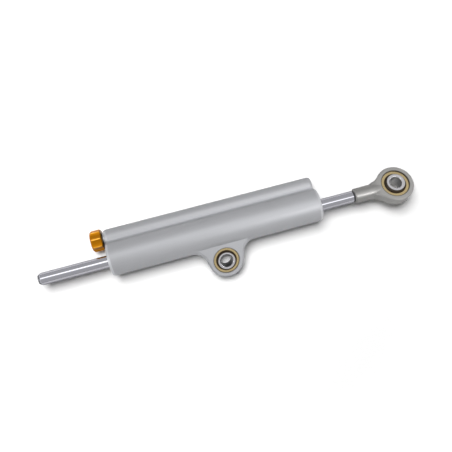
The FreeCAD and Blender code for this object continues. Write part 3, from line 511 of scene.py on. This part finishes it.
def greased_and_shaded_ball(name, base, centre, axis, flat, bore_shade_tone):
    """Ground steel with a dark sphere outside its flat face, for grease and painted shade in the gap to the race,
    and painted shade in its bore.
    """
    finish = Finish(name)
    reach = finish.reach(centre, axis)
    grain, _, tint = ground_grain(finish, base)
    sphere = reach.band(flat, flat + RIM_BLEND)
    bore = 1 - reach.band(*BORE_EDGE)
    # The sphere outside the flat face is near black: grease and painted shade in the gap to the race
    tint = finish.blend(sphere, tint, colour(GREASE_AND_GAP_SHADE))
    # The bore gets a darker colour: painted shade
    tint = finish.blend(bore * 0.9, tint, colour((bore_shade_tone,) * 3))
    finish.feed(Base_Color=tint, Metallic=1 - sphere * 0.7,
                Roughness=0.24 + grain * 0.06 + bore * 0.06 + sphere * 0.2)
    return finish


def ground_metal(name, base, rough, scale=FINE_GRAIN):
    """Metal with a fine ground grain and faint stains."""
    finish = Finish(name)
    grain, stains, tint = ground_grain(finish, base, scale)
    finish.feed(Base_Color=tint, Metallic=1.0,
                Roughness=rough + grain * 0.05 + stains.band(0.55, 0.8) * 0.06)
    return finish


class DAMPER_OT_bearings(bpy.types.Operator):
    """Brass races and ground steel balls of the two spherical bearings"""

    bl_idname = "damper.bearings"
    bl_label = "Finish the bearings"

    def execute(self, context):
        base = context.scene.damper_colours
        for name, centre, axis in (("lug", LUG_CENTRE, LUG_NORMAL), ("rod_end", EYE_CENTRE, EYE_NORMAL)):
            race = turned_brass(f"{name}_race_brass", base.race, centre, axis, rims=RACE_RIMS[name])
            race.assign(f"{name}_race")
            ball = greased_and_shaded_ball(f"{name}_ball_steel", base.ball, centre, axis, BALL_FLAT[name],
                                BORE_SHADE_TONE[name])
            ball.assign(f"{name}_ball")
        return {"FINISHED"}


class DAMPER_OT_inside(bpy.types.Operator):
    """Seals, clips, bushes, pistons and valve pieces inside the body, and the knob's screw"""

    bl_idname = "damper.inside"
    bl_label = "Finish the inside pieces"

    def execute(self, context):
        base = context.scene.damper_colours
        bushes = turned_brass("bush_bronze", base.race, ROD_AXIS, ALONG_ROD, rough=0.28)
        bushes.assign(*left_and_right("rod_bush"))
        valve = turned_brass("valve_brass", base.race, VALVE_AXIS, ALONG_ROD, rough=0.26)
        valve.assign("valve_seat", "needle_guide")
        ground_metal("clip_steel", base.steel, rough=0.30).assign(
            *left_and_right("head_circlip", "piston_circlip"), "plug_circlip", "knob_screw",
            "adjuster_spindle", "needle")
        ground_metal("machined_aluminium", base.machined, rough=0.32, scale=COARSE_GRAIN).assign(
            *left_and_right("seal_head"), "piston", "valve_gland", "reservoir_plug", "floating_piston")
        self.rubber(base.rubber)
        self.plastic(base.plastic)
        return {"FINISHED"}

    @staticmethod
    def rubber(base):
        finish = Finish("nitrile_rubber")
        bloom = finish.noise(500, detail=4, roughness=0.6)
        pores = finish.noise(6000, detail=2)
        tint = finish.blend(bloom.band(0.5, 0.8), colour(base), colour(RUBBER_BLOOM))
        finish.feed(Base_Color=tint, Roughness=0.55 + bloom * 0.2)
        finish.bump(pores, distance=0.00001, strength=0.4)
        finish.assign(*left_and_right("wiper", "rod_seal", "head_o_ring"), "piston_o_ring", "gland_o_ring",
                      "spindle_o_ring", "plug_o_ring", "floating_piston_o_ring")

    @staticmethod
    def plastic(base):
        finish = Finish("filled_plastic")
        flecks = finish.noise(2400, detail=3, roughness=0.7)
        tint = finish.blend(flecks.band(0.55, 0.75), colour(base), colour(PLASTIC_FLECK))
        finish.feed(Base_Color=tint, Roughness=0.45 + flecks * 0.15)
        finish.bump(flecks, distance=0.000008, strength=0.4)
        finish.assign("piston_band")


def seen_rays(nodes):
    """1 on the rays that show the stage: to the camera, in reflections and through glass."""
    camera, glossy, through = (nodes.node("ShaderNodeLightPath", out=name)
                               for name in ("Is Camera Ray", "Is Glossy Ray", "Is Transmission Ray"))
    return camera.either(glossy.either(through))


def from_view(settings, offset):
    """A vector in the frame from one that goes right, up and back in the camera's view."""
    return Euler(settings.aim).to_matrix() @ Vector(offset)


def add_plane(name, width, place, turn, scale=(1, 1, 1)):
    """A square that is stretched and turned, with its place in its mesh."""
    bpy.ops.object.select_all(action="DESELECT")
    bpy.ops.mesh.primitive_plane_add(size=width, location=place, rotation=turn, scale=scale)
    plane = bpy.context.object
    plane.name = name
    bpy.ops.object.transform_apply(location=True, rotation=True, scale=True)
    return plane


class DAMPER_OT_stage(bpy.types.Operator):
    """White table, soft lights, grey cards, the room and the camera"""

    bl_idname = "damper.stage"
    bl_label = "Set the stage"

    def execute(self, context):
        settings = context.scene.damper_stage
        table = self.table(settings)
        for name in LIGHTS:
            self.limit(self.softbox(settings, name), name, table)
        for name, rise in CARD_RISE.items():
            self.card(settings, name, rise)
        self.world(context.scene, settings)
        self.camera(context.scene, settings)
        context.scene.view_settings.view_transform = "Standard"
        return {"FINISHED"}

    @staticmethod
    def table(settings):
        """A table under the damper, white where it is seen and clear from below."""
        normal = Matrix.Rotation(settings.table_tilt, 3, "X") @ Vector((0, 0, 1))
        lowest = min(normal.dot(vertex.co) for node in NODES.values() for vertex in node.data.vertices)
        table = add_plane("table", TABLE_WIDTH, normal * (lowest - settings.table_gap),
                          (settings.table_tilt, 0, 0))
        table.visible_diffuse = False
        finish = Finish("white_table")
        seen = seen_rays(finish)
        behind = finish.node("ShaderNodeNewGeometry", out="Backfacing")
        light = from_view(settings, settings.table_place)
        # The table glows below the lug's bore: a painted pool of light
        below_lug = 1 - finish.reach(LUG_CENTRE, light).band(*BELOW_BORE)
        far = finish.reach(MIDDLE, normal).band(*TABLE_FAR)
        glow = below_lug * settings.painted_bore_light + far + settings.shadow_lift
        finish.feed(Base_Color=colour(TABLE_WHITE), Emission_Color=seen * glow, Emission_Strength=1.0, **MATT)
        clear = finish.node("ShaderNodeBsdfTransparent")
        opaque = Field(finish, finish.shader.outputs[0])
        surface = finish.node("ShaderNodeMixShader", None, {0: seen * behind, 1: opaque, 2: clear})
        finish.plug(finish.first("OUTPUT_MATERIAL").inputs["Surface"], surface)
        table.data.materials.append(finish.material)
        return table

    @staticmethod
    def softbox(settings, name):
        """An area light that faces the damper, with its length along the rod or turned from it."""
        data = bpy.data.lights.new(name, "AREA")
        data.shape = "RECTANGLE"
        data.energy = getattr(settings, name + "_power")
        data.size, data.size_y = getattr(settings, name + "_size")
        light = bpy.data.objects.new(name + "_light", data)
        bpy.context.scene.collection.objects.link(light)
        offset = from_view(settings, getattr(settings, name + "_place"))
        back = offset.normalized()
        length = (ALONG_ROD - back * back.dot(ALONG_ROD)).normalized()
        length = Matrix.Rotation(getattr(settings, name + "_turn", 0.0), 3, back) @ length
        light.matrix_world = Matrix((length, back.cross(length), back)).transposed().to_4x4()
        light.location = MIDDLE + offset
        light.visible_glossy = name != "low"
        return light

    @staticmethod
    def limit(light, name, table):
        """Keep the table's and the streak's lights to the table and the rod, and the others off the table.

        The key and side lights leave the rod out too.
        """
        rod = NODES["piston_rod"]
        alone = {"table": (table,), "streak": (rod,)}
        spared = (table, rod) if name in ("key", "side") else (table,)
        receivers = bpy.data.collections.new(name + "_light_receivers")
        for item in alone.get(name, spared):
            receivers.objects.link(item)
        for item in receivers.collection_objects:
            item.light_linking.link_state = "INCLUDE" if name in alone else "EXCLUDE"
        light.light_linking.receiver_collection = receivers

    @staticmethod
    def card(settings, name, rise):
        """A grey card along the rod, seen only in reflections and raised about the rod from the camera."""
        facing = from_view(settings, (0, 0, 1))
        back = (facing - ALONG_ROD * facing.dot(ALONG_ROD)).normalized()
        side = Matrix.Rotation(-rise, 3, ALONG_ROD) @ back
        turn = Matrix((ALONG_ROD, side.cross(ALONG_ROD), side)).transposed()
        card = add_plane(name, 1, MIDDLE + side * CARD_DISTANCE, turn.to_euler(), (*CARD_SIZE, 1))
        for rays in ("camera", "diffuse", "shadow", "transmission"):
            setattr(card, "visible_" + rays, False)
        finish = Finish(name + "_grey")
        finish.feed(Base_Color=colour(BLACK), Emission_Color=colour(WHITE),
                    Emission_Strength=settings.card_tone, **MATT)
        card.data.materials.append(finish.material)

    @staticmethod
    def world(scene, settings):
        """White where it is seen, and an even low light on the damper."""
        world = bpy.data.worlds.new("studio")
        scene.world = world
        world.use_nodes = True
        studio = Nodes(world.node_tree)
        background = studio.first("BACKGROUND")
        background.inputs["Color"].default_value = colour(WHITE)
        strength = settings.room + seen_rays(studio) * (1.0 - settings.room)
        studio.plug(background.inputs["Strength"], strength)

    @staticmethod
    def camera(scene, settings):
        data = bpy.data.cameras.new("camera")
        data.sensor_width = SENSOR_WIDTH
        data.lens = settings.lens
        data.clip_start = CLIP_START
        camera = bpy.data.objects.new("camera", data)
        scene.collection.objects.link(camera)
        camera.location = settings.camera
        camera.rotation_euler = Euler(settings.aim)
        scene.camera = camera


class DAMPER_PT_panel(bpy.types.Panel):
    """Colours, stage and steps of the damper"""

    bl_label = "Steering damper"
    bl_idname = "DAMPER_PT_panel"
    bl_space_type = "VIEW_3D"
    bl_region_type = "UI"
    bl_category = "Damper"

    def draw(self, context):
        for group in (context.scene.damper_colours, context.scene.damper_stage):
            box = self.layout.box()
            for key in group.__annotations__:
                box.prop(group, key)
        for operator in OPERATORS:
            self.layout.operator(operator.bl_idname)


OPERATORS = (DAMPER_OT_body, DAMPER_OT_rod, DAMPER_OT_rod_end, DAMPER_OT_knob, DAMPER_OT_bearings,
             DAMPER_OT_inside, DAMPER_OT_stage)
CLASSES = (DamperColours, DamperStage, *OPERATORS, DAMPER_PT_panel)


def register():
    for item in CLASSES:
        bpy.utils.register_class(item)
    bpy.types.Scene.damper_colours = bpy.props.PointerProperty(type=DamperColours)
    bpy.types.Scene.damper_stage = bpy.props.PointerProperty(type=DamperStage)


def unregister():
    del bpy.types.Scene.damper_stage
    del bpy.types.Scene.damper_colours
    for item in reversed(CLASSES):
        bpy.utils.unregister_class(item)


def main():
    register()
    bpy.ops.damper.body()
    bpy.ops.damper.rod()
    bpy.ops.damper.rod_end()
    bpy.ops.damper.knob()
    bpy.ops.damper.bearings()
    bpy.ops.damper.inside()
    bpy.ops.damper.stage()


if __name__ == "__main__":
    main()
